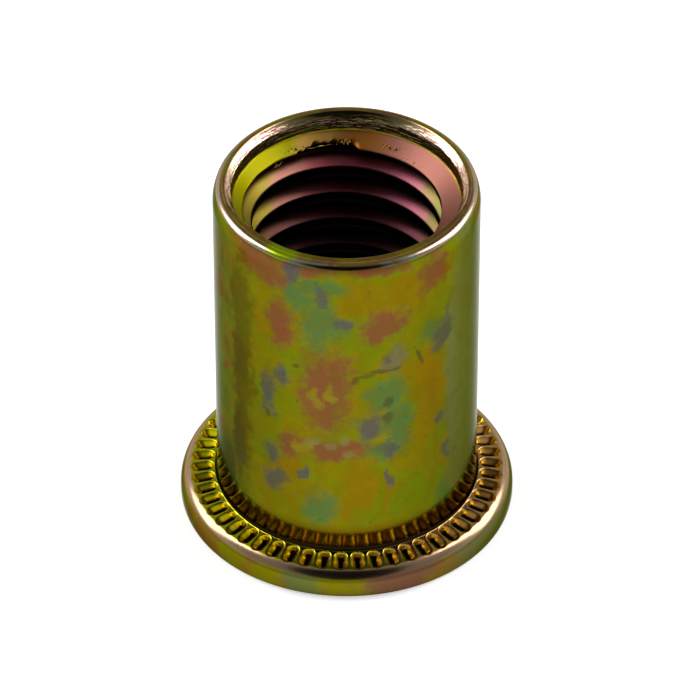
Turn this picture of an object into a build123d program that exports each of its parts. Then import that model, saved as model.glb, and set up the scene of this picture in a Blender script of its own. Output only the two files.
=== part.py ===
from build123d import *
import math
import os

# Rivet nut: a threaded sleeve with a flat round flange, standing on the flange.
# Millimetres. +Z runs from the head face up to the tail end, and the origin is
# the centre of the head face.

# Sleeve
barrel_diameter = 12.0
overall_length = 17.9
tail_lip_round = 0.65
tail_bore_chamfer = 0.1

# Flange at the head end
flange_overhang = 1.7
flange_thickness = 1.36
flange_edge_width = 0.5
flange_edge_round = 0.85
head_face_chamfer = 0.12
foot_taper_height = 0.65
foot_taper_width = 0.125

# Band of serrations pressed into the upper side of the flange
serration_count = 54
serration_depth = 0.3
serration_floor_width = 0.27
serration_wall_angle = 36.0
serration_corner_cut = 0.13
serration_gap_to_foot = 0.02
serration_gap_to_edge = 0.03
serration_start_angle = 1.0

# Right-hand thread of the standard profile. Its groove is cut for the turns that
# the mouth shows, and below them the bore keeps the diameter of the crests.
thread_major_diameter = 10.0
thread_pitch = 1.5
tapping_hole_diameter = 8.5
thread_flank_angle = 30.0
thread_end_angle = -12.2
thread_turns_cut = 3

# Thin-walled zone that folds when the nut is set, open at the head face
crush_wall_thickness = 0.85
crush_zone_length = 8.4
crush_shoulder_angle = 45.0
head_mouth_chamfer = 0.2

# Mouth of the thread at the tail end
counterbore_wall_thickness = 0.85
counterbore_depth = 0.85
countersink_angle = 30.0

# How far a cutting shape passes beyond the faces that it cuts
cutting_margin = 0.3

barrel_radius = barrel_diameter / 2
flange_radius = barrel_radius + flange_overhang
tapping_radius = tapping_hole_diameter / 2
thread_root_radius = thread_major_diameter / 2
crush_bore_radius = barrel_radius - crush_wall_thickness
counterbore_radius = barrel_radius - counterbore_wall_thickness


def rise(run, degrees):
    """Height gained over a level run, at an angle above the level."""
    return run * math.tan(math.radians(degrees))


# Outline of the sleeve: radius along X, height along Z.
foot_radius = barrel_radius + foot_taper_width
band_edge_radius = flange_radius - flange_edge_width
round_offset = flange_edge_round - flange_edge_width
round_drop = math.sqrt(flange_edge_round**2 - round_offset**2)
counterbore_floor = overall_length - counterbore_depth
countersink_drop = rise(counterbore_radius - tapping_radius, countersink_angle)
shoulder_rise = rise(crush_bore_radius - tapping_radius, crush_shoulder_angle)

rim_high = (flange_radius, flange_thickness - round_drop)
band_edge = (band_edge_radius, flange_thickness)
lip_low = (barrel_radius, overall_length - tail_lip_round)
lip_crown = (barrel_radius - tail_lip_round, overall_length)

with BuildSketch(Plane.XZ) as half_section:
    with BuildLine():
        RadiusArc(rim_high, band_edge, -flange_edge_round)
        Polyline(
            band_edge,
            (foot_radius, flange_thickness),
            (barrel_radius, flange_thickness + foot_taper_height),
            lip_low,
        )
        RadiusArc(lip_low, lip_crown, -tail_lip_round)
        Polyline(
            lip_crown,
            (counterbore_radius + tail_bore_chamfer, overall_length),
            (counterbore_radius, overall_length - tail_bore_chamfer),
            (counterbore_radius, counterbore_floor),
            (tapping_radius, counterbore_floor - countersink_drop),
            (tapping_radius, crush_zone_length + shoulder_rise),
            (crush_bore_radius, crush_zone_length),
            (crush_bore_radius, head_mouth_chamfer),
            (crush_bore_radius + head_mouth_chamfer, 0),
            (flange_radius - head_face_chamfer, 0),
            (flange_radius, head_face_chamfer),
            rim_high,
        )
    make_face()
sleeve = revolve(half_section.sketch, axis=Axis.Z)

# One serration: a trough of constant depth across the band, with sloping walls
# and with its corners cut off so that its ends are nearly round. It is what four
# crossing wedges have in common, drawn about the trough's middle.
wall_run = serration_depth * math.tan(math.radians(serration_wall_angle))
half_width = serration_floor_width / 2 + wall_run
trough_start = foot_radius + serration_gap_to_foot
trough_end = band_edge_radius - serration_gap_to_edge
half_length = (trough_end - trough_start) / 2
half_diagonal = (half_length + half_width) * math.sqrt(0.5) - serration_corner_cut


def wedge(half, turn):
    """Long prism with sloping sides below the band's face and upright ones above."""
    profile = Polygon(
        (wall_run - half, -serration_depth),
        (half - wall_run, -serration_depth),
        (half, 0),
        (half, cutting_margin),
        (-half, cutting_margin),
        (-half, 0),
        align=None,
    )
    return Rot(0, 0, turn) * extrude(Plane.YZ * profile, amount=flange_overhang, both=True)


trough = (
    wedge(half_width, 0)
    & wedge(half_length, 90)
    & wedge(half_diagonal, 45)
    & wedge(half_diagonal, -45)
)
placed_trough = Pos((trough_start + trough_end) / 2, 0, flange_thickness) * trough
troughs = [
    Rot(0, 0, serration_start_angle + 360 * step / serration_count) * placed_trough
    for step in range(serration_count)
]

# Thread: a groove of trapezoid section carried up a right-hand helix, turn by
# turn. Its upper end lies just above the counterbore's floor, where the groove
# has run out through the countersink.
root_flat = thread_pitch / 8
mouth_radius = tapping_radius - cutting_margin
mouth_half = root_flat / 2 + rise(thread_root_radius - mouth_radius, thread_flank_angle)
with BuildSketch(Plane.XZ) as groove_section:
    Polygon(
        (mouth_radius, -mouth_half),
        (thread_root_radius, -root_flat / 2),
        (thread_root_radius, root_flat / 2),
        (mouth_radius, mouth_half),
        align=None,
    )
one_turn = Helix(pitch=thread_pitch, height=thread_pitch, radius=thread_root_radius)
groove_turn = sweep(groove_section.sketch, path=one_turn, is_frenet=True)
thread_top = counterbore_floor + root_flat / 2
groove_turns = [
    Pos(0, 0, thread_top - thread_pitch * step) * Rot(0, 0, thread_end_angle) * groove_turn
    for step in range(1, thread_turns_cut + 1)
]

nut = sleeve - troughs - groove_turns

os.makedirs("parts", exist_ok=True)
export_step(nut, "parts/rivet_nut.step")
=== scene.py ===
import math
import bpy
import numpy as np
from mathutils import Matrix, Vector


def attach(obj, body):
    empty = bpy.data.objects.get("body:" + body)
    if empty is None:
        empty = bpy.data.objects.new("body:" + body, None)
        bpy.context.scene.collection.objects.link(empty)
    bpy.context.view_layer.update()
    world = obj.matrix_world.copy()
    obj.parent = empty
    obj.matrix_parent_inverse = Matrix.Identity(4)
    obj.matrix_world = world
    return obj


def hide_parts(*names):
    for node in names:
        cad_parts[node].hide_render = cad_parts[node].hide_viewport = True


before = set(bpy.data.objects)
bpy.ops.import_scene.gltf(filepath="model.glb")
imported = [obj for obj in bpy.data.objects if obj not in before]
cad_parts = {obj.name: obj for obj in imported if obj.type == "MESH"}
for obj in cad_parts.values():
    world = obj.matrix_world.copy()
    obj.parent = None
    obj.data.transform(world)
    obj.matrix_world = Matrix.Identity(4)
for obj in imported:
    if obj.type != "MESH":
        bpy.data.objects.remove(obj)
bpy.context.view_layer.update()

MM = 0.001

# Studio: watts of each lamp, greys of the room, of its pale walls and of its
# dark part, and how much the floor glows of its own.
LIGHT_POWER = 2.6
ROOM_GREY = 0.35
WALL_GREY = 0.85
DARK_GREY = 0.004
FLOOR_GLOW = 0.5

# Sizes in millimetres. BAND_EDGE and BAND_FOOT are the radius and height of the
# serrated band's outer and inner edge, EDGE_START is the angle in degrees at
# which the flange's rounded edge leaves the band, FOOT_START and FOOT_CORNER are
# points of the taper at the barrel's foot, and CHAMFER_SHIFT is the share of the
# mouth's chamfer that is missing at the side towards -y.
BARREL_R = 6.0
LENGTH = 17.9
FLANGE_R = 7.7
BAND_EDGE = (7.2, 1.2994)
BAND_FOOT = (6.125, 1.42)
FOOT_START = (6.118, 1.42)
FOOT_CORNER = (6.03, 1.56)
FOOT_TOP = 2.02
EDGE_ROUND = 0.85
RIM_HIGH = 0.5248
EDGE_START = 65.7
BORE_R = 5.15
HEAD_CHAMFER = 0.2
COUNTERBORE_FLOOR = 17.05
COUNTERSINK = math.radians(30)
CHAMFER_R = 5.55
CHAMFER_SHIFT = 0.85
SHOULDER_FLOOR = 8.4

# Thread: pitch, crest and root radius, half the root's flat, run of a flank,
# height and angle of one point of the groove's middle, and the height at which
# the spiral strip ends.
PITCH = 1.5
CREST_R = 4.25
ROOT_R = 5.0
ROOT_HALF = PITCH / 16
FLANK_RUN = math.tan(math.radians(30))
GROOVE_HEIGHT = 16.07
GROOVE_ANGLE = 90.0
HELIX_TOP = 15.9

# Torn first crest: its ends in degrees, the height of its upper edge and the
# radius that it is broken out to.
TORN_START = 82
TORN_END = 124
TORN_HEIGHT = 16.76
TORN_R = 4.9

# Serrations: count, turn in degrees, half width, corner rounding, where they
# start and end along the band, depth, softness and shape of the outline,
# steepness of the walls, how much steeper the inner and the outer end are, and
# the height and width of the bead of metal pushed up round them.
TEETH = 54
TOOTH_TURN = 1.0
TOOTH_WIDE = 0.353
TOOTH_ROUND = 0.33
TOOTH_START = 0.02
TOOTH_END = 1.14
TOOTH_DEPTH = 0.3
TOOTH_SOFT = 0.05
TOOTH_ARCH = 1.65
TOOTH_STEEP = 1.376
TOOTH_ENDS = (2.4, -0.3)
BEAD_HIGH = 0.01
BEAD_WIDE = 0.035

# Points of a coarse ring; a fine one, which follows the serrations, has twice
# as many.
COARSE = 8 * TEETH


# Profiles and surfaces, in millimetres.

def rounded(corners, steps=3):
    """Open outline through corners (radius, height, rounding, ...): each corner
    is replaced by points of the parabola that touches both its sides at the
    rounding's distance from it: P(t) = (1-t)^2 A + 2t(1-t) C + t^2 B."""
    points = [corners[0][:2]]
    for before, corner, after in zip(corners, corners[1:], corners[2:]):
        c = np.array(corner[:2], float)
        size = corner[2]
        if size == 0:
            points.append(tuple(c))
            continue
        a = np.array(before[:2], float) - c
        b = np.array(after[:2], float) - c
        a = c + a / np.linalg.norm(a) * size
        b = c + b / np.linalg.norm(b) * size
        t = np.linspace(0, 1, steps + 1)[:, None]
        curve = (1 - t) ** 2 * a + 2 * t * (1 - t) * c + t ** 2 * b
        points.extend(map(tuple, curve))
    points.append(corners[-1][:2])
    return np.array(points)


def arc(centre, radius, start, end, steps):
    """Points on a circle in the half section: centre + radius (cos a, sin a),
    the angle a going evenly from start to end in degrees."""
    a = np.radians(np.linspace(start, end, steps + 1))
    return np.stack([centre[0] + radius * np.cos(a), centre[1] + radius * np.sin(a)], 1)


def thread_radius(angle, height):
    """Radius of the threaded bore at an angle in degrees and a height: the
    distance from the groove's middle, which climbs one pitch a turn, gives the
    root within ROOT_HALF and then a straight flank down to the crest."""
    middle = GROOVE_HEIGHT + PITCH * (angle - GROOVE_ANGLE) / 360
    away = np.abs((height - middle + PITCH / 2) % PITCH - PITCH / 2)
    depth = ROOT_R - (away - ROOT_HALF) / FLANK_RUN
    return np.clip(depth, CREST_R, ROOT_R)


def step(value, low, high):
    """Smooth step of a value from low to high: 3t^2 - 2t^3."""
    t = np.clip((value - low) / (high - low), 0, 1)
    return t * t * (3 - 2 * t)


def bore_radius(angle, height):
    """Radius inside the nut: the larger of the thread, the countersink that
    falls inwards from the counterbore's floor at 30 degrees, and the shoulder
    that falls inwards from the folding zone at 45 degrees. Where the thread
    starts, its thin first crest is broken out with a ragged upper edge."""
    cone = BORE_R - (COUNTERBORE_FLOOR - height) / math.tan(COUNTERSINK)
    shoulder = BORE_R - (height - SHOULDER_FLOOR)
    plain = np.clip(np.maximum(cone, shoulder), CREST_R, BORE_R)
    radius = np.maximum(thread_radius(angle, height), plain)
    a = angle % 360
    ragged = 0.03 * np.sin(np.radians(a * 31)) + 0.025 * np.sin(np.radians(a * 67 + 40))
    edge = TORN_HEIGHT + ragged - 0.16 * step(a, 108, 122)
    torn = step(height, edge, edge - 0.05) * step(height, 15.95, 16.1)
    torn = torn * step(a, TORN_START, TORN_START + 9) * step(a, TORN_END, TORN_END - 5)
    return radius + torn * np.maximum(TORN_R - radius, 0)


def tooth_depth(angle, along):
    """Depth of the serrations at an angle in degrees and a distance along the
    band from its foot: walls of constant slope from the outline of a rounded
    box inwards, steeper at the inner end, blended softly into a flat floor. A
    low bead of pushed-up metal follows the outline."""
    pitch = 360 / TEETH
    off = (angle - TOOTH_TURN + pitch / 2) % pitch - pitch / 2
    radius = BAND_FOOT[0] + along
    across = np.abs(np.radians(off) * radius) - TOOTH_WIDE + TOOTH_ROUND
    middle = (TOOTH_START + TOOTH_END) / 2
    length = np.abs(along - middle) - (TOOTH_END - TOOTH_START) / 2 + TOOTH_ROUND
    outside = np.maximum(across, 0) ** TOOTH_ARCH + np.maximum(length, 0) ** TOOTH_ARCH
    outside = outside ** (1 / TOOTH_ARCH)
    inside = np.minimum(np.maximum(across, length), 0)
    q = TOOTH_ROUND - outside - inside
    endwise = step(length - across, -0.1, 0.12)
    steep = TOOTH_STEEP * (1 + endwise * np.where(along < middle, *TOOTH_ENDS))
    wall = steep * (np.sqrt(np.maximum(q, 0) ** 2 + TOOTH_SOFT ** 2) - TOOTH_SOFT)
    blend = 0.05
    h = np.clip(0.5 + 0.5 * (TOOTH_DEPTH - wall) / blend, 0, 1)
    bead = BEAD_HIGH * np.exp(-((q + 0.01) / BEAD_WIDE) ** 2) * step(along, 0.9, 0.6)
    return wall * h + TOOTH_DEPTH * (1 - h) - blend * h * (1 - h) - bead


def tooth_angles():
    """Angles of the fine rings in degrees: 16 a serration, closer together on
    its walls than on its floor and on the ridge."""
    half = 360 / TEETH / 2
    share = np.array([0, 0.2, 0.36, 0.46, 0.6, 0.74, 0.83, 0.905])
    side = np.concatenate([-share[:0:-1], share, [1.0]])
    starts = TOOTH_TURN + np.arange(TEETH) * 360 / TEETH
    return (starts[:, None] + side[None, :] * half).ravel()


fine_angles = tooth_angles()
coarse_angles = fine_angles[::2]


class Skin:
    """Vertices and faces of one closed surface, built ring by ring."""

    def __init__(self):
        self.points = []
        self.faces = []
        self.count = 0

    def add(self, angle, radius, height):
        """Ring of points (radius cos a, radius sin a, height)."""
        a = np.radians(angle)
        radius = np.broadcast_to(radius, a.shape)
        height = np.broadcast_to(height, a.shape)
        ring = np.stack([radius * np.cos(a), radius * np.sin(a), height], -1)
        index = np.arange(a.size) + self.count
        self.points.append(ring.reshape(-1, 3))
        self.count += a.size
        return index

    def quads(self, low, high):
        """Quads between two rings of the same count."""
        n = low.size
        k = np.arange(n)
        j = (k + 1) % n
        self.faces.append(np.stack([low[k], low[j], high[j], high[k]], 1))

    def halve(self, coarse, fine, flip):
        """Triangles between a ring and one of twice its count."""
        n = coarse.size
        k = np.arange(n)
        j = (k + 1) % n
        f0, f1, f2 = fine[2 * k], fine[2 * k + 1], fine[(2 * k + 2) % fine.size]
        c0, c1 = coarse[k], coarse[j]
        for a, b, c in ((c0, f1, f0), (c0, c1, f1), (c1, f2, f1)):
            if flip:
                b, c = c, b
            self.faces.append(np.stack([a, b, c, c], 1))

    def chain(self, rings):
        """Joins rings one after the other, changing count where they differ."""
        for low, high in zip(rings, rings[1:]):
            if low.size == high.size:
                self.quads(low, high)
            elif low.size < high.size:
                self.halve(low, high, False)
            else:
                self.halve(high, low, True)


def plain_rings(skin, outline):
    """One coarse ring for each point of a half-section outline."""
    return [skin.add(coarse_angles, r, z) for r, z in outline]


def band_rings(skin):
    """Fine rings across the serrated band and the first part of the edge's
    rounding: point P(s) of the half section moved back along its normal by
    tooth_depth, with P straight up to the band's edge and then on the arc."""
    foot, edge = np.array(BAND_FOOT), np.array(BAND_EDGE)
    length = np.linalg.norm(edge - foot)
    way = (edge - foot) / length
    rings = []
    along = np.concatenate([
        np.linspace(0, 0.3, 10), np.linspace(0.39, 0.87, 5), np.linspace(0.94, length, 4),
    ])
    for s in along:
        depth = tooth_depth(fine_angles, s)
        r = foot[0] + way[0] * s + way[1] * depth
        z = foot[1] + way[1] * s - way[0] * depth
        rings.append(skin.add(fine_angles, r, z))
    for turned in (2.5, 5.0, 8.0):
        a = math.radians(EDGE_START - turned)
        depth = np.maximum(tooth_depth(fine_angles, length + EDGE_ROUND * math.radians(turned)), 0)
        r = FLANGE_R - EDGE_ROUND + (EDGE_ROUND - depth) * math.cos(a)
        z = RIM_HIGH + (EDGE_ROUND - depth) * math.sin(a)
        rings.append(skin.add(fine_angles, r, z))
    return rings


def helix_faces(skin):
    """Threaded wall from the shoulder up to the countersink as one spiral strip:
    point (i, k) is at angle i and at the height of the groove's middle there
    plus offset k, held between the lowest and the highest ring of the wall.
    After the last offset of a turn comes the first of the next, so that every
    row follows the thread."""
    offsets = np.array([
        0, 0.07, 0.115, 0.3, 0.49, 0.515, 0.545, 0.65, 0.85, 0.955, 0.985, 1.01, 1.2, 1.385, 1.43,
    ])
    low, high = SHOULDER_FLOOR, HELIX_TOP
    turns = math.ceil((high - low) / PITCH) + 3
    n = COARSE
    i = np.arange((turns + 1) * n)
    angle = coarse_angles[i % n] + 360 * (i // n)
    base = GROOVE_HEIGHT + PITCH * (angle - GROOVE_ANGLE) / 360
    base -= PITCH * math.ceil((base[0] - low) / PITCH + 1)
    height = np.clip(base[:, None] + offsets[None, :], low, high)
    a = np.broadcast_to(coarse_angles[i % n][:, None], height.shape)
    radius = bore_radius(a, height)
    start = skin.count
    skin.add(a.ravel(), radius.ravel(), height.ravel())
    index = start + np.arange(height.size).reshape(height.shape)
    rows = turns * n - 1
    after = np.concatenate([index[:rows, 1:], index[n:n + rows, :1]], 1)
    beside = np.concatenate([index[1:rows + 1, 1:], index[n + 1:n + rows + 1, :1]], 1)
    quads = np.stack([index[:rows], after, beside, index[1:rows + 1]], -1)
    skin.faces.append(quads.reshape(-1, 4))


def finish_skin(skin, name):
    """Merges points that lie on each other, drops faces with no area left and
    makes the mesh, its faces turned so that the enclosed volume is positive."""
    points = np.concatenate(skin.points)
    faces = np.concatenate(skin.faces)
    key = np.round(points * 1e5).astype(np.int64)
    _, first, back = np.unique(key, axis=0, return_index=True, return_inverse=True)
    points = points[first]
    faces = back.reshape(-1)[faces]
    nxt = np.roll(faces, -1, 1)
    kept = faces != nxt
    size = kept.sum(1)
    faces, kept, size = faces[size > 2], kept[size > 2], size[size > 2]
    loops = faces[kept]
    starts = np.concatenate([[0], np.cumsum(size)[:-1]])
    p = points[faces]
    volume = (np.cross(p[:, 0], p[:, 1]) * p[:, 2]).sum()
    volume += (np.cross(p[:, 0], p[:, 2]) * p[:, 3]).sum()
    if volume < 0:
        owner = np.repeat(np.arange(size.size), size)
        place = np.arange(loops.size) - starts[owner]
        loops = loops[starts[owner] + size[owner] - 1 - place]
    mesh = bpy.data.meshes.new(name)
    mesh.vertices.add(len(points))
    mesh.vertices.foreach_set("co", (points * MM).ravel())
    mesh.loops.add(loops.size)
    mesh.loops.foreach_set("vertex_index", loops.astype(np.int32))
    mesh.polygons.add(size.size)
    mesh.polygons.foreach_set("loop_start", starts.astype(np.int32))
    mesh.update(calc_edges=True)
    mesh.validate()
    mesh.shade_smooth()
    piece = bpy.data.objects.new(name, mesh)
    bpy.context.scene.collection.objects.link(piece)
    return piece


def build_nut():
    """The whole nut as one closed skin: folding zone, head face, flange with its
    serrations, barrel, lip, counterbore, countersink and thread. The chamfer of
    the mouth is cut off centre and almost runs out towards -y."""
    skin = Skin()
    head = rounded([
        (BORE_R, SHOULDER_FLOOR, 0), (BORE_R, HEAD_CHAMFER, 0.04), (BORE_R + HEAD_CHAMFER, 0, 0.04),
        (FLANGE_R, 0, 0.2), (FLANGE_R, RIM_HIGH, 0),
    ])
    edge = arc((FLANGE_R - EDGE_ROUND, RIM_HIGH), EDGE_ROUND, 0, EDGE_START - 10, 8)
    rings = plain_rings(skin, np.concatenate([head[:-1], edge]))
    rings += band_rings(skin)[::-1]
    foot = rounded([
        FOOT_START + (0,), FOOT_CORNER + (0.13,), (BARREL_R, FOOT_TOP, 0.3), (BARREL_R, 9.0, 0),
    ], 4)[1:-1]
    barrel = np.array([(BARREL_R, z) for z in np.linspace(3.0, 17.0, 5)])
    lip = rounded([
        (BARREL_R, 17.1, 0), (BARREL_R, 17.3, 0.15), (5.825, 17.885, 0.3),
        (5.45, LENGTH, 0.1), (5.165, 17.58, 0.06), (BORE_R, COUNTERBORE_FLOOR + 0.05, 0),
    ], 6)
    rings += plain_rings(skin, np.concatenate([foot, barrel]))
    share = 1 - CHAMFER_SHIFT * step(np.sin(np.radians(coarse_angles)), 0.0, -0.7)
    for r, z in lip:
        drawn_in = share if r < CHAMFER_R else 1
        rings.append(skin.add(coarse_angles, BORE_R + (r - BORE_R) * drawn_in, z))
    for z in np.linspace(COUNTERBORE_FLOOR + 0.02, HELIX_TOP, 33):
        rings.append(skin.add(coarse_angles, bore_radius(coarse_angles, z), z))
    skin.chain(rings)
    helix_faces(skin)
    return finish_skin(skin, "nut_skin")


def build_burr(name, start, end, radius, height, thick, wave):
    """A curl of torn metal on the thread's first crest, as a closed tube round
    the path angle(s) from start to end, with C(s) = (radius + thick sin(wave s),
    height + 0.8 thick sin(1.7 wave s + 1)) and the tube's own radius
    thick sqrt(sin(pi s)) (0.55 + 0.35 sin(2.3 wave s))."""
    along, round_it = 61, 8
    s = np.linspace(0, 1, along)[:, None]
    v = np.linspace(0, 2 * np.pi, round_it, endpoint=False)[None, :]
    tube = thick * np.sqrt(np.clip(np.sin(np.pi * s), 0, 1)) * (0.55 + 0.35 * np.sin(2.3 * wave * s))
    tube = tube * (1 + 0.3 * np.sin(3 * v + wave * s))
    a = np.radians(start + (end - start) * s)
    r = radius + thick * np.sin(wave * s) + tube * np.cos(v)
    z = height + 0.8 * thick * np.sin(1.7 * wave * s + 1) + tube * np.sin(v)
    skin = Skin()
    skin.points.append(np.stack([r * np.cos(a), r * np.sin(a), z], -1).reshape(-1, 3))
    index = np.arange(along * round_it).reshape(along, round_it)
    side = np.roll(index, -1, 1)
    skin.faces.append(np.stack([index[:-1], index[1:], side[1:], side[:-1]], -1).reshape(-1, 4))
    return finish_skin(skin, name)


# Start and end angle, radius, height, thickness and waviness of each curl.
BURRS = (
    (112.0, 127.0, 4.66, 16.74, 0.07, 23.0),
    (86.0, 96.0, 4.60, 16.70, 0.09, 17.0),
    (98.0, 117.0, 4.52, 16.66, 0.025, 9.0),
    (59.0, 70.5, 4.62, 16.74, 0.08, 21.0),
    (38.0, 58.0, 4.42, 16.60, 0.04, 27.0),
    (131.0, 139.0, 4.40, 16.54, 0.045, 14.0),
)

nut = build_nut()
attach(nut, "root")
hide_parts("rivet_nut")

burrs = []
for number, shape in enumerate(BURRS):
    burr = build_burr(f"burr_{number + 1}", *shape)
    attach(burr, "root")
    burrs.append(burr)


# Materials.

class Nodes:
    """Short way to write a node tree: each call makes a node, sets its values
    and joins its inputs."""

    def __init__(self, material):
        material.use_nodes = True
        self.tree = material.node_tree
        self.tree.nodes.clear()

    def feed(self, socket, value):
        """Joins an output to a socket, or sets a plain value on it."""
        if isinstance(value, bpy.types.NodeSocket):
            self.tree.links.new(value, socket)
        else:
            socket.default_value = value

    def make(self, kind, settings=None, **inputs):
        """One node. Inputs called i0, i1 and so on go by number, others by name."""
        node = self.tree.nodes.new(kind)
        for key, value in (settings or {}).items():
            setattr(node, key, value)
        for key, value in inputs.items():
            numbered = key[0] == "i" and key[1:].isdigit()
            self.feed(node.inputs[int(key[1:]) if numbered else key.replace("_", " ")], value)
        return node

    def math(self, operation, *values):
        """Result of one sum on numbers."""
        node = self.make("ShaderNodeMath", {"operation": operation})
        for socket, value in zip(node.inputs, values):
            self.feed(socket, value)
        return node.outputs[0]

    def both(self, *masks):
        """Product of masks, one where all of them are."""
        product = masks[0]
        for mask in masks[1:]:
            product = self.math("MULTIPLY", product, mask)
        return product

    def vector(self, operation, *values):
        """Result of one sum on vectors."""
        node = self.make("ShaderNodeVectorMath", {"operation": operation})
        sockets = (node.inputs[0], node.inputs["Scale"]) if operation == "SCALE" else node.inputs
        for socket, value in zip(sockets, values):
            self.feed(socket, value)
        return node.outputs["Value" if operation in ("LENGTH", "DOT_PRODUCT") else "Vector"]

    def noise(self, place, scale, detail, roughness, output="Fac"):
        """Smooth noise at a place."""
        node = self.make(
            "ShaderNodeTexNoise", Vector=place, Scale=scale, Detail=detail, Roughness=roughness,
        )
        return node.outputs[output]

    def spread(self, value, low, high, to_low=0.0, to_high=1.0):
        """Smooth step of a value from low to high."""
        node = self.make("ShaderNodeMapRange", {"interpolation_type": "SMOOTHSTEP"})
        names = ("Value", "From Min", "From Max", "To Min", "To Max")
        for name, item in zip(names, (value, low, high, to_low, to_high)):
            self.feed(node.inputs[name], item)
        return node.outputs["Result"]

    def mix(self, factor, a, b):
        """Colour a where the factor is zero, b where it is one."""
        node = self.make("ShaderNodeMix", {"data_type": "RGBA"})
        for socket, value in ((node.inputs[0], factor), (node.inputs[6], a), (node.inputs[7], b)):
            self.feed(socket, value)
        return node.outputs[2]


def colour(r, g, b):
    """Linear colour of an 8-bit screen colour."""
    def linear(v):
        v /= 255
        return v / 12.92 if v <= 0.04045 else ((v + 0.055) / 1.055) ** 2.4
    return linear(r), linear(g), linear(b), 1.0


# Colours of the film on the barrel. Those in the table below are laid as patches; its dark colour is
# also painted reflection of something dark.
OLIVE = colour(102, 112, 0)
MUSTARD = colour(122, 104, 0)
GRASS = colour(100, 118, 14)
TANNED = colour(96, 84, 4)
SPECK = colour(62, 60, 28)
FILMS_AND_REFLECTION = {
    "orange": colour(128, 96, 0),
    "pink": colour(116, 64, 42),
    "teal": colour(66, 102, 54),
    "violet": colour(72, 74, 74),
    "dark": colour(84, 72, 6),
    "bright": colour(128, 120, 10),
    "grey": colour(104, 108, 66),
    "scratch": colour(62, 58, 34),
    "pale": colour(116, 108, 62),
    "lime": colour(150, 170, 20),
}

# Films laid on the barrel one over the other, the dark one also carrying a painted
# reflection through its patches: kind, shift of the noise that lays it behind,
# level of that noise at which it starts, and strength.
LAYERS = (
    ("orange", (3.0, 9.0, 4.0), 0.54, 0.7),
    ("pink", (11.0, 3.0, 7.0), 0.56, 0.9),
    ("teal", (5.0, 17.0, 2.0), 0.56, 0.8),
    ("violet", (1.0, 5.0, 19.0), 0.6, 0.85),
    ("dark", (7.0, 1.0, 13.0), 0.66, 0.75),
    ("bright", (17.0, 5.0, 1.0), 0.68, 0.7),
)
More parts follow.
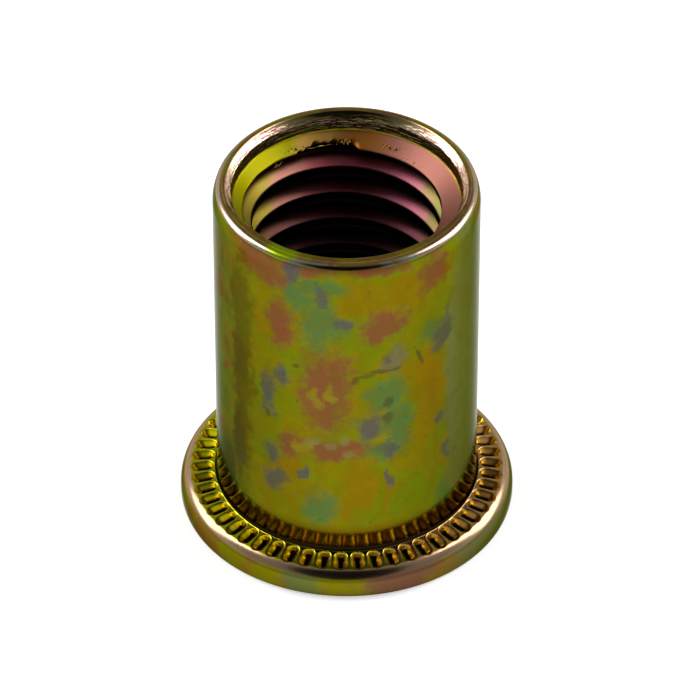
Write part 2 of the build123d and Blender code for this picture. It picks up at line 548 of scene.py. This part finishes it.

# Patches of the film on the barrel: colour, angle in degrees, height, half the
# width, half the height and tilt in degrees. The dark ones, at about -141
# degrees, make a tall band of painted reflection of something dark.
PATCHES = (
    ("pink", -131, 17.2, 2, 0.75, -25), ("pink", -110, 17.6, 1.4, 0.35, 0),
    ("pink", -50, 16.7, 0.8, 0.9, 0), ("pink", -76, 17.6, 1.15, 0.3, 0),
    ("pink", -119, 14.1, 0.6, 1.25, 0), ("pink", -74, 14.5, 1.1, 0.7, 20),
    ("pink", -99, 10.7, 1.05, 2.1, 0), ("pink", -114, 7.4, 0.75, 0.7, 0),
    ("pink", -95, 7.3, 1.6, 0.45, 5),
    ("orange", -63, 16.3, 1, 0.8, 0), ("orange", -52, 10.2, 0.8, 2.8, 0),
    ("orange", -84, 5.6, 0.65, 1.45, 0), ("orange", -72, 4.2, 0.2, 0.7, -15),
    ("orange", -88, 3.8, 0.25, 1.05, 0), ("orange", -131, 13.9, 0.45, 0.7, 0),
    ("orange", -84, 16.2, 0.9, 0.8, 0), ("orange", -117, 5.7, 0.5, 1.2, 0),
    ("teal", -102, 14.6, 0.8, 1.15, 0), ("teal", -102, 16.7, 1.1, 0.4, 0),
    ("teal", -111, 16.0, 0.65, 0.6, 0), ("teal", -72, 10.4, 0.75, 0.95, 0),
    ("teal", -67, 8.5, 0.75, 1.3, 0), ("teal", -74, 7.1, 0.65, 0.45, 0),
    ("teal", -102, 3.9, 0.7, 0.85, 0), ("teal", -41, 3.1, 0.7, 0.95, 0),
    ("teal", -52, 13.4, 0.5, 0.6, 0), ("grey", -28, 9.5, 1.15, 6.5, 0),
    ("violet", -114, 17.5, 0.4, 0.8, 0), ("violet", -101, 16.2, 0.2, 0.5, 0),
    ("violet", -92, 14.7, 0.35, 0.25, 0), ("violet", -45, 12.8, 0.55, 0.85, -20),
    ("violet", -41, 13.6, 0.2, 0.8, 0), ("violet", -69, 12.5, 0.45, 0.7, -30),
    ("violet", -118, 11.0, 0.35, 0.5, 0), ("violet", -126, 9.9, 0.45, 1.05, 0),
    ("violet", -143, 10.7, 0.6, 1.15, 0), ("violet", -124, 6.4, 0.4, 0.55, 0),
    ("violet", -122, 5.0, 0.7, 0.55, 0), ("violet", -110, 5.9, 0.2, 0.35, 0),
    ("violet", -80, 8.7, 0.55, 0.75, 0), ("violet", -72, 7.1, 0.35, 0.45, 0),
    ("violet", -71, 5.5, 0.15, 0.6, 0), ("violet", -38, 8.4, 0.3, 1.3, 0),
    ("violet", -41, 5.8, 0.3, 0.55, 0), ("violet", -45, 7.9, 0.3, 0.35, 0),
    ("violet", -144, 6.0, 0.45, 2.15, 0), ("violet", -155, 3.7, 0.95, 1.3, 0),
    # painted reflection: dark patches of the tall band on the barrel's left
    ("dark", -142, 14.2, 0.65, 2.1, 0), ("dark", -139, 10.1, 0.4, 1.05, 0),
    ("bright", -103, 10.4, 0.25, 0.45, 0), ("bright", -96, 10.5, 0.2, 0.45, 0),
    ("bright", -75, 8.0, 0.4, 0.25, 10), ("bright", -109, 7.3, 0.3, 0.45, 0),
    ("scratch", -82, 11.7, 0.45, 0.1, 8), ("scratch", -86, 11.5, 0.2, 0.1, 45),
    ("scratch", -74, 11.9, 0.7, 0.15, 3), ("scratch", -72, 10.0, 0.2, 0.25, -30),
    ("scratch", -72, 9.1, 0.25, 0.25, 0), ("scratch", -126, 8.7, 0.1, 0.2, 0),
    ("scratch", -112, 12.0, 0.15, 0.1, 0), ("scratch", -57, 12.1, 0.1, 0.4, 20),
    ("pale", -105, 7.8, 0.3, 0.2, 0), ("pale", -97, 7.6, 0.25, 0.2, 10),
    ("pale", -91, 8.0, 0.2, 0.3, 0), ("pale", -89, 7.2, 0.25, 0.2, 0),
    ("pale", -67, 12.6, 0.35, 0.5, 0), ("pale", -54, 12.6, 0.1, 0.1, 0),
    ("pale", -71, 12.1, 0.45, 0.15, 0),
    # the dark patch here is the tall band of painted reflection on the barrel's left
    ("lime", -121, 17.9, 0.6, 0.15, 0), ("dark", -141, 10.5, 0.6, 6.2, 0),
)


class Plating:
    """Nodes of the plated steel: places on the nut in millimetres, and the film
    on each part of it, with painted shade, painted reflection and painted
    highlight tints in places."""

    def __init__(self, material):
        n = self.n = Nodes(material)
        place = n.make("ShaderNodeTexCoord").outputs["Object"]
        self.mm = n.vector("SCALE", place, 1 / MM)
        half = (0.5, 0.5, 0.5)
        broad = n.vector("SUBTRACT", n.noise(self.mm, 0.9, 2.0, 0.5, "Color"), half)
        small = n.vector("SUBTRACT", n.noise(self.mm, 3.5, 2.0, 0.6, "Color"), half)
        bent = n.vector("ADD", self.mm, n.vector("SCALE", broad, 1.3))
        self.bent = n.vector("ADD", bent, n.vector("SCALE", small, 0.35))
        self.bent_x = n.make("ShaderNodeSeparateXYZ", Vector=self.bent).outputs[0]
        self.x, self.y, self.z = n.make("ShaderNodeSeparateXYZ", Vector=self.mm).outputs
        level = n.make("ShaderNodeCombineXYZ", X=self.x, Y=self.y, Z=0.0).outputs[0]
        self.radius = n.vector("LENGTH", level)

    def cloud(self, shift, scale, low, high):
        """Mask of noise at a place of its own."""
        noise = self.n.noise(self.n.vector("ADD", self.bent, shift), scale, 3.0, 0.55)
        return self.n.spread(noise, low, high)

    def patches(self, place, kind):
        """Highest of the patches of a kind: one at its middle, falling to zero
        at twice its half sizes."""
        n = self.n
        total = None
        for name, angle, height, wide, tall, tilt in PATCHES:
            if name != kind:
                continue
            a = math.radians(angle)
            local = n.make(
                "ShaderNodeMapping", {"vector_type": "TEXTURE"}, Vector=place,
                Location=(BARREL_R * math.cos(a), BARREL_R * math.sin(a), height),
                Rotation=(math.radians(tilt), 0, a), Scale=(4.0, 2 * wide, 2 * tall),
            ).outputs[0]
            spot = n.make("ShaderNodeTexGradient", {"gradient_type": "SPHERICAL"}, Vector=local)
            spot = spot.outputs["Fac"]
            total = spot if total is None else n.math("MAXIMUM", total, spot)
        return total

    def barrel(self):
        """Film on the barrel, with a tall dark band of painted reflection on its
        left. The patches lie on the side towards -y; elsewhere noise lays the same
        colours."""
        n = self.n
        behind = n.spread(self.y, -3.6, -1.5)
        ragged = n.math("SUBTRACT", n.noise(self.mm, 2.6, 5.0, 0.65), 0.5)
        ragged = n.math("MULTIPLY", ragged, 0.9)
        film = n.mix(self.cloud((2.0, 8.0, 5.0), 0.5, 0.35, 0.65), OLIVE, MUSTARD)
        film = n.mix(n.both(self.cloud((6.0, 1.0, 9.0), 0.9, 0.4, 0.7), 0.5), film, GRASS)
        for kind, shift, low, weight in LAYERS:
            own = n.both(self.cloud(shift, 0.42, low, low + 0.08), behind)
            spots = n.math("ADD", self.patches(self.bent, kind), ragged)
            mask = n.math("MAXIMUM", own, n.spread(spots, 0.2, 0.72))
            film = n.mix(n.both(mask, weight), film, FILMS_AND_REFLECTION[kind])
        film = n.mix(n.spread(self.patches(self.bent, "grey"), 0.2, 0.5), film, FILMS_AND_REFLECTION["grey"])
        rough_edge = n.math("MULTIPLY", ragged, 1.3)
        for kind in ("scratch", "pale"):
            spots = n.spread(n.math("ADD", self.patches(self.mm, kind), rough_edge), 0.25, 0.6)
            film = n.mix(n.both(spots, 0.6), film, FILMS_AND_REFLECTION[kind])
        specks = n.spread(n.noise(self.mm, 4.2, 1.0, 0.5), 0.73, 0.77)
        film = n.mix(n.both(specks, 0.6), film, SPECK)
        tone = n.noise(n.vector("MULTIPLY", self.bent, (1.0, 1.0, 0.6)), 1.6, 4.0, 0.6)
        return n.mix(n.spread(tone, 0.35, 0.65, 0.0, 0.3), film, TANNED)

    def lip(self, base):
        """Film on the lip, a pale painted highlight tint on its tight outer edge, duller in front."""
        n, y, z = self.n, self.y, self.z
        upper = n.spread(z, 17.68, 17.8)
        film = n.mix(
            self.cloud((4.0, 4.0, 1.0), 0.5, 0.4, 0.6), colour(142, 124, 56), colour(126, 94, 66),
        )
        base = n.mix(upper, base, film)
        # painted highlight tint: pale colour on the lip's outer edge, where the lamps' highlight falls
        outer = n.both(n.spread(self.radius, 5.62, 5.7), n.spread(z, 17.7, 17.76))
        edge = n.mix(
            self.cloud((8.0, 3.0, 1.0), 0.7, 0.5, 0.6), colour(176, 150, 134), colour(150, 150, 128),
        )
        front = n.mix(
            self.cloud((2.0, 6.0, 1.0), 0.9, 0.5, 0.58), colour(128, 98, 62), colour(134, 138, 122),
        )
        base = n.mix(outer, base, n.mix(n.spread(y, -5.0, -5.5), edge, front))
        return n.mix(n.spread(self.patches(self.mm, "lime"), 0.2, 0.6), base, FILMS_AND_REFLECTION["lime"])

    def mouth(self, base, inside, in_cone):
        """Streaked film in the counterbore, a pale painted highlight tint on its
        chamfer, and the film on the countersink, from yellow at the left to
        pink-brown at the right, with a painted highlight line along its upper edge."""
        n, y, z = self.n, self.y, self.z
        lines = n.noise(n.vector("MULTIPLY", self.bent, (0.25, 0.25, 7.0)), 1.0, 2.0, 0.5)
        streaks = n.mix(n.spread(lines, 0.4, 0.55), colour(176, 130, 140), colour(110, 128, 60))
        base = n.mix(inside, base, streaks)
        # painted highlight tint: pale pink-white on the back of the chamfer, where the lamps'
        # highlight falls
        chamfer = n.both(
            n.spread(self.radius, 5.46, 5.4), n.spread(z, 17.5, 17.6), n.spread(y, -2.5, -0.5),
        )
        film = n.mix(n.spread(lines, 0.45, 0.6), colour(220, 190, 160), colour(176, 122, 120))
        film = n.mix(n.spread(y, 4.0, 4.9), film, colour(112, 104, 62))
        base = n.mix(chamfer, base, film)
        film = n.mix(n.spread(self.bent_x, -3.0, -1.7), colour(122, 117, 0), colour(172, 132, 64))
        film = n.mix(n.spread(self.bent_x, -1.2, 0.2), film, colour(150, 94, 40))
        film = n.mix(n.spread(self.bent_x, 0.8, 2.4), film, colour(134, 86, 74))
        # painted highlight: a bright yellow line along the countersink's upper edge
        film = n.mix(n.spread(z, 17.0, 17.04), film, colour(190, 176, 20))
        return n.mix(in_cone, base, film)

    def thread(self, base, in_thread):
        """Film on the thread: olive, tan and pink along the flanks, with painted
        shade: darker further down, almost black on the crests and in the groove."""
        n, across = self.n, self.bent_x
        film = n.mix(n.spread(across, -3.7, -3.0), colour(127, 112, 38), colour(142, 92, 79))
        film = n.mix(n.spread(across, -2.6, -0.8), film, colour(152, 74, 82))
        film = n.mix(n.spread(across, 0.8, 2.4), film, colour(178, 98, 116))
        film = n.mix(n.spread(across, 2.9, 4.1), film, colour(122, 112, 60))
        # painted shade: the flanks darker deeper in the bore
        film = n.mix(n.spread(self.z, 14.6, 11.5), film, colour(84, 44, 46))
        # painted shade: almost black on the crests and dark in the groove
        film = n.mix(n.spread(self.radius, 4.34, 4.27), film, colour(22, 8, 8))
        film = n.mix(n.spread(self.radius, 4.55, 4.85), film, colour(40, 16, 14))
        return n.mix(in_thread, base, film)

    def band(self, base, on_band):
        """Film at the barrel's foot and on the serrated band, with painted shade:
        the barrel darker near the flange and the crease at its foot dark brown;
        the walls of the serrations turned one way are bright yellow, the others
        tan, their floors painted almost black as shade."""
        n, z = self.n, self.z
        foot = n.both(n.spread(z, 1.8, 1.6), n.spread(self.radius, 6.16, 6.12))
        # painted shade: the barrel's lower part darker near the flange, and the crease at its foot
        # dark brown
        base = n.mix(n.both(n.spread(z, 3.1, 2.2), n.spread(z, 1.2, 1.5)), base, colour(100, 74, 0))
        base = n.mix(foot, base, colour(30, 20, 3))
        turn = n.math("SUBTRACT", n.math("ARCTAN2", self.y, self.x), math.radians(TOOTH_TURN))
        swing = n.math("SINE", n.math("MULTIPLY", turn, float(TEETH)))
        walls = n.mix(n.spread(swing, -0.25, 0.25), colour(255, 240, 10), colour(214, 160, 84))
        slope = (BAND_FOOT[1] - BAND_EDGE[1]) / (BAND_EDGE[0] - BAND_FOOT[0])
        fall = n.math("MULTIPLY", self.radius, slope)
        face = n.math("SUBTRACT", BAND_FOOT[1] + slope * BAND_FOOT[0], fall)
        depth = n.math("SUBTRACT", face, z)
        film = n.mix(n.spread(self.x, 0.0, 3.0), colour(176, 174, 30), colour(176, 138, 84))
        film = n.mix(n.spread(depth, 0.02, 0.06), film, walls)
        # painted shade: the serrations' floors almost black
        film = n.mix(n.spread(depth, 0.22, 0.28), film, colour(30, 18, 4))
        return n.mix(on_band, base, film)

    def rim(self, base, low):
        """Film on the flange's rounded edge: olive and tan, with a teal and a
        pink-brown part in front, and a pale painted highlight tint on its upper
        part, where the lamps' highlight falls."""
        n, across = self.n, self.bent_x
        teal = n.both(
            n.spread(across, -3.2, -2.5), n.spread(across, -0.9, -1.7), n.spread(self.y, -1.5, -3.6),
        )
        pink = n.both(n.spread(across, 0.6, 1.6), n.spread(across, 4.6, 3.4))
        film = n.mix(
            self.cloud((2.0, 7.0, 7.0), 0.5, 0.42, 0.6), colour(112, 108, 0), colour(118, 88, 30),
        )
        film = n.mix(n.both(teal, 0.65), film, colour(78, 104, 52))
        film = n.mix(pink, film, colour(106, 72, 50))
        film = n.mix(n.spread(across, 4.2, 5.6), film, colour(98, 96, 52))
        # painted highlight tint: pale tan on the edge's upper part, where the lamps' highlight falls
        film = n.mix(n.spread(self.z, 0.95, 1.15), film, colour(168, 138, 110))
        return n.mix(n.both(low, n.spread(self.radius, 7.2, 7.26)), base, film)

    def relief(self):
        """Tooling lines round the mouth, and a faint unevenness of the film."""
        n = self.n
        lines = n.noise(n.vector("MULTIPLY", self.mm, (0.1, 0.1, 1.0)), 9.0, 2.0, 0.6)
        in_mouth = n.both(n.spread(self.radius, 5.4, 5.17), n.spread(self.z, 16.98, 17.1))
        height = n.both(lines, in_mouth, 0.08)
        grain = n.both(n.noise(self.mm, 5.0, 3.0, 0.6), 0.0018)
        bump = n.make("ShaderNodeBump", Strength=1.0, Distance=MM, Height=n.math("ADD", height, grain))
        return bump.outputs[0]


def plated_steel():
    """Steel under an iridescent yellow chromate film, with painted shade,
    painted reflection and painted highlight tints in places.
    """
    material = bpy.data.materials.new("yellow_zinc_steel")
    plating = Plating(material)
    n, z, radius = plating.n, plating.z, plating.radius
    inside = n.spread(radius, 5.32, 5.12)
    in_cone = n.both(inside, n.spread(z, 17.08, 17.06))
    in_thread = n.both(inside, n.spread(z, 16.54, 16.48))
    low = n.spread(z, 1.62, 1.5)
    on_band = n.both(low, n.spread(radius, 6.1, 6.14))
    base = plating.lip(plating.barrel())
    base = plating.mouth(base, inside, in_cone)
    base = plating.thread(base, in_thread)
    base = plating.band(base, on_band)
    base = plating.rim(base, low)
    rough = n.spread(n.math("MAXIMUM", in_cone, in_thread), 0.0, 1.0, 0.2, 0.42)
    rough = n.spread(n.both(on_band, n.spread(radius, 7.22, 7.18)), 0.0, 1.0, rough, 0.3)
    at_foot = n.both(n.spread(z, 4.2, 2.8), n.spread(z, 1.3, 1.5))
    rough = n.spread(at_foot, 0.0, 1.0, rough, 0.12)
    shader = n.make(
        "ShaderNodeBsdfPrincipled", Base_Color=base, Metallic=1.0, Roughness=rough,
        Specular_Tint=(0.36, 0.38, 0.3, 1.0), Coat_Weight=0.04, Coat_Roughness=0.1,
        Normal=plating.relief(),
    )
    n.make("ShaderNodeOutputMaterial", Surface=shader.outputs[0])
    return material


def torn_metal():
    """Bright gold film on the curls of torn metal."""
    material = bpy.data.materials.new("yellow_zinc_burr")
    n = Nodes(material)
    shader = n.make(
        "ShaderNodeBsdfPrincipled", Base_Color=colour(206, 170, 90), Metallic=1.0, Roughness=0.35,
    )
    n.make("ShaderNodeOutputMaterial", Surface=shader.outputs[0])
    return material


def pale_floor():
    """Plain pale matt floor, partly lit of its own for the camera and for
    reflections, so that it is nearly white and keeps the shadow."""
    material = bpy.data.materials.new("pale_floor")
    n = Nodes(material)
    matt = n.make("ShaderNodeBsdfDiffuse", Color=(0.8, 0.8, 0.8, 1.0))
    ray = n.make("ShaderNodeLightPath").outputs
    seen = n.math("MAXIMUM", ray["Is Camera Ray"], ray["Is Glossy Ray"])
    seen = n.math("MAXIMUM", seen, ray["Is Transmission Ray"])
    strength = n.math("MULTIPLY", seen, FLOOR_GLOW)
    glow = n.make("ShaderNodeEmission", Color=(1.0, 1.0, 1.0, 1.0), Strength=strength)
    added = n.make("ShaderNodeAddShader", i0=matt.outputs[0], i1=glow.outputs[0])
    n.make("ShaderNodeOutputMaterial", Surface=added.outputs[0])
    return material


nut.data.materials.append(plated_steel())
gold = torn_metal()
for burr in burrs:
    burr.data.materials.append(gold)


# Studio.

def direction(azimuth, elevation):
    """Unit vector at an azimuth from +x and an elevation, in degrees."""
    a, e = math.radians(azimuth), math.radians(elevation)
    return Vector((math.cos(a) * math.cos(e), math.sin(a) * math.cos(e), math.sin(e)))


def lay_floor():
    """Floor of 4 m by 4 m under the nut."""
    mesh = bpy.data.meshes.new("floor")
    corners = [(-2, -2, 0), (2, -2, 0), (2, 2, 0), (-2, 2, 0)]
    mesh.from_pydata(corners, [], [(0, 1, 2, 3)])
    floor = bpy.data.objects.new("floor", mesh)
    floor.data.materials.append(pale_floor())
    bpy.context.scene.collection.objects.link(floor)


def hang_lamp(name, azimuth):
    """Tall soft light 40 degrees up and 0.64 m from the nut, turned to it."""
    light = bpy.data.lights.new(name, "AREA")
    light.shape = "RECTANGLE"
    light.size = 0.32
    light.size_y = 0.52
    light.energy = LIGHT_POWER
    lamp = bpy.data.objects.new(name, light)
    way = direction(azimuth, 40)
    lamp.location = way * 0.64
    lamp.rotation_euler = way.to_track_quat("Z", "Y").to_euler()
    bpy.context.scene.collection.objects.link(lamp)


def build_room():
    """Room round the stage: pale walls up to 20 degrees, a grey ceiling from 34
    degrees, and a dark round part of 26 degrees' radius high up towards -y."""
    world = bpy.data.worlds.new("studio")
    n = Nodes(world)
    ray = n.make("ShaderNodeTexCoord").outputs["Generated"]
    up = n.make("ShaderNodeSeparateXYZ", Vector=ray).outputs[2]
    low, high = math.sin(math.radians(20)), math.sin(math.radians(34))
    wall = n.spread(up, low, high, WALL_GREY, ROOM_GREY)
    toward = n.vector("DOT_PRODUCT", ray, tuple(direction(-90, 51)))
    outer, inner = math.cos(math.radians(32)), math.cos(math.radians(26))
    shade = n.spread(toward, outer, inner, wall, DARK_GREY)
    grey = n.make("ShaderNodeCombineColor", Red=shade, Green=shade, Blue=shade)
    room = n.make("ShaderNodeBackground", Color=grey.outputs[0])
    n.make("ShaderNodeOutputWorld", Surface=room.outputs[0])
    bpy.context.scene.world = world


def set_camera():
    """Camera at the photograph's viewing angle, 40 degrees above the floor. The
    camera aims at a point on the nut's axis 8.27 mm above the floor."""
    data = bpy.data.cameras.new("camera")
    data.lens = 307.7
    data.sensor_width = 36
    data.clip_start = 0.01
    eye = bpy.data.objects.new("camera", data)
    distance, elevation, aim, aside = 272.9, math.radians(40), 8.27, 0.15
    back, up = distance * math.cos(elevation), distance * math.sin(elevation)
    eye.location = (aside * MM, -back * MM, (aim + up) * MM)
    eye.rotation_euler = (math.pi / 2 - elevation, 0, 0)
    bpy.context.scene.collection.objects.link(eye)
    bpy.context.scene.camera = eye
    bpy.context.scene.view_settings.view_transform = "Standard"


lay_floor()
hang_lamp("left_light", 157)
hang_lamp("right_light", 23)
build_room()
set_camera()
